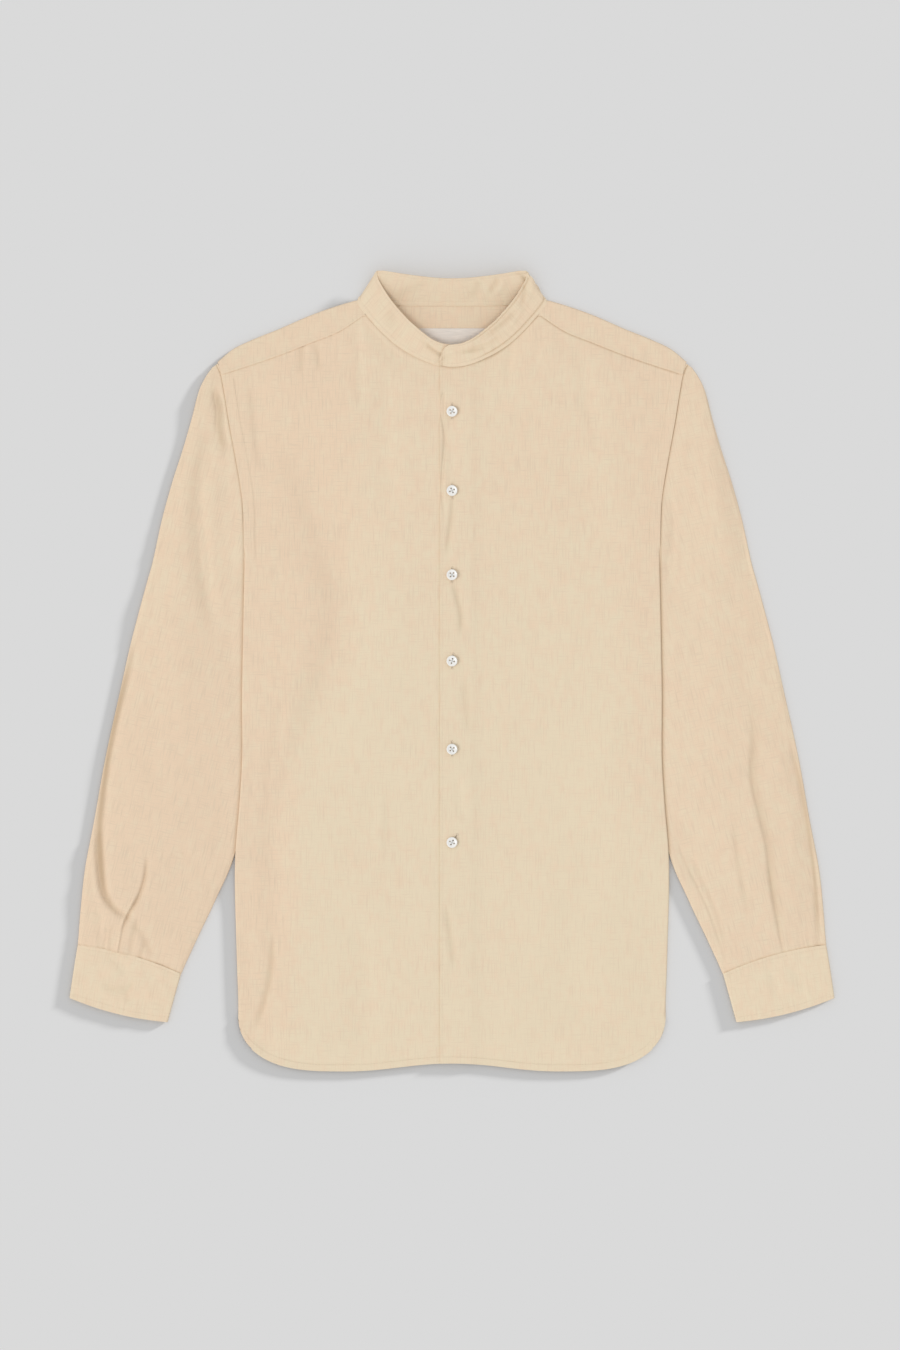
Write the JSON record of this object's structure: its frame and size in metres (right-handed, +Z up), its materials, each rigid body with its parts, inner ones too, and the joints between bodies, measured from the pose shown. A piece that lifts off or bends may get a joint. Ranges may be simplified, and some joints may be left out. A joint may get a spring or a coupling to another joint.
{
  "type": "mandarin collar shirt",
  "caption": "Long-sleeved button-front linen shirt with a standing band collar and barrel cuffs, laid flat on its back.",
  "frame": {"origin": "on the surface that the shirt lies on, at the middle of its outline seen from above", "axes": "+X towards the wearer's left sleeve, +Y from the hem up to the collar, +Z up from the surface"},
  "size_m": [0.765, 0.7989, 0.0172],
  "materials": {
    "linen": "pale beige linen chambray, plain weave with slubs, matt, washed and softly creased",
    "linen_trim": "the same beige linen in two layers with a stiffener, edge-stitched, for the collar band and cuffs",
    "button": "white four-hole shirt button with a soft polish",
    "label": "smooth grey-beige woven satin label, blank"
  },
  "bodies": {
    "root": {"back": "linen", "yoke": "linen", "front_left": "linen", "front_right": "linen", "sleeve_left": "linen", "sleeve_right": "linen", "collar_band": "linen_trim", "cuff_left": "linen_trim", "cuff_right": "linen_trim", "button_1": "button", "button_2": "button", "button_3": "button", "button_4": "button", "button_5": "button", "button_6": "button", "neck_label": "label"}
  },
  "joints": []
}
